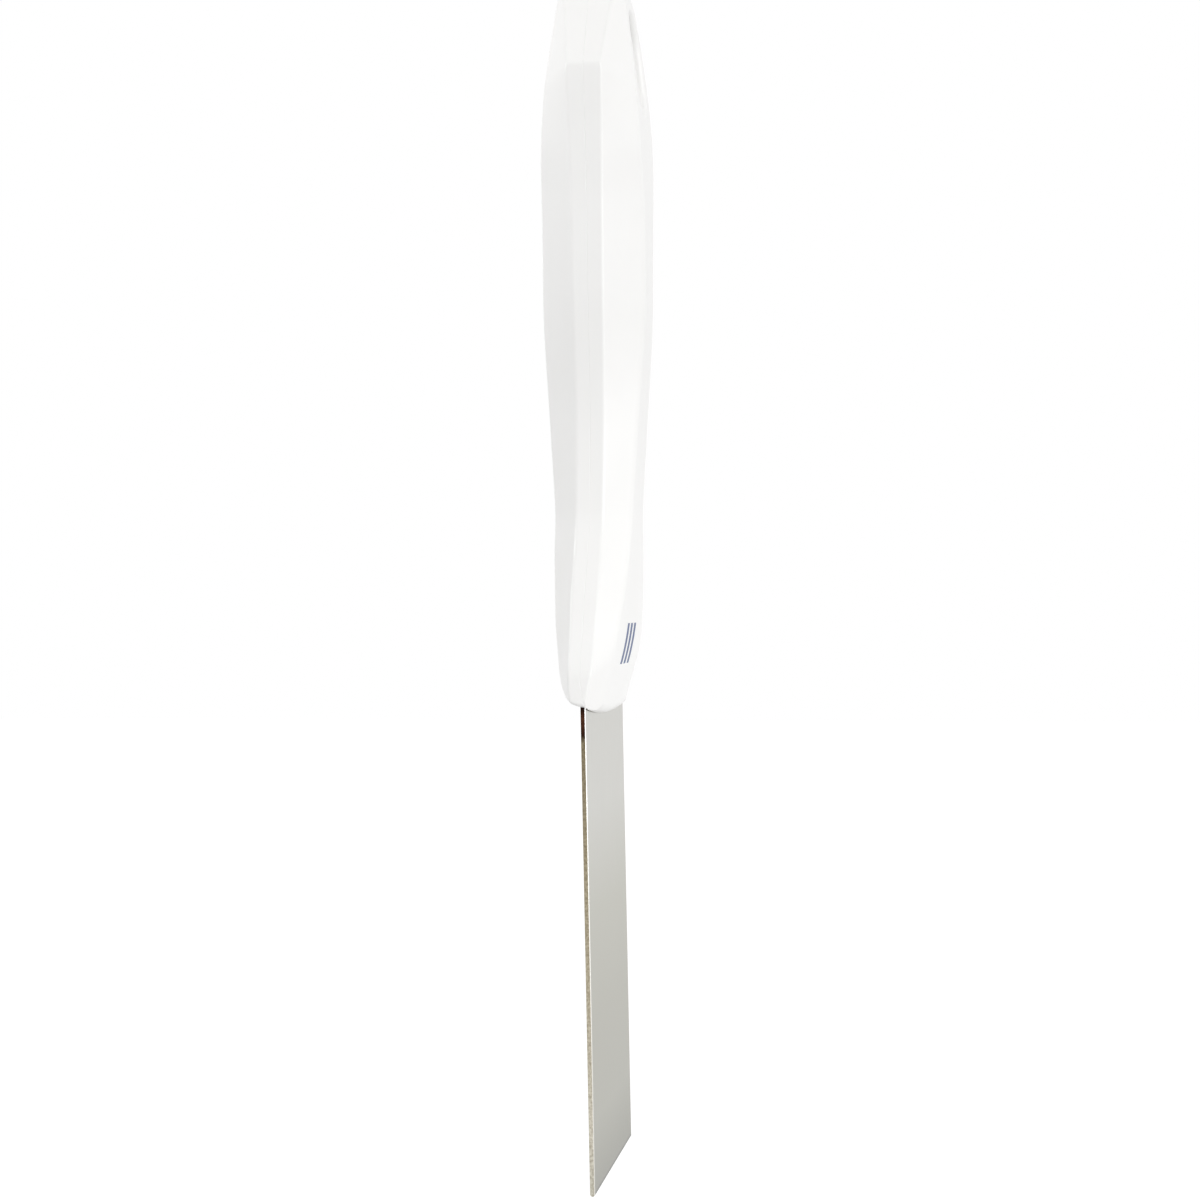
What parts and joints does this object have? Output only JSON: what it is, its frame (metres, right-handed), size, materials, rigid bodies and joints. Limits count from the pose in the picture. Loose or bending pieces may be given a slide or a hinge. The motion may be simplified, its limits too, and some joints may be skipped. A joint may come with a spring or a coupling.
{
  "type": "hand scraper",
  "caption": "Stiff rectangular steel scraper blade held in a faceted moulded plastic handle with an oval hanging eye, hung with the blade down.",
  "frame": {"origin": "centre of the hanging eye, on the handle's parting plane", "axes": "+X across the blade, +Y out of the back face, +Z along the tool towards the hanging end; the blade points to -Z"},
  "size_m": [0.0528, 0.0206, 0.235],
  "materials": {
    "blade_steel": "satin ground stainless steel",
    "handle_plastic": "white moulded polypropylene with a soft gloss",
    "pin_steel": "plain stainless steel"
  },
  "bodies": {
    "root": {"blade": "blade_steel", "front_shell": "handle_plastic", "back_shell": "handle_plastic", "tang_pin_lower": "pin_steel", "tang_pin_middle": "pin_steel", "tang_pin_upper": "pin_steel"}
  },
  "joints": []
}
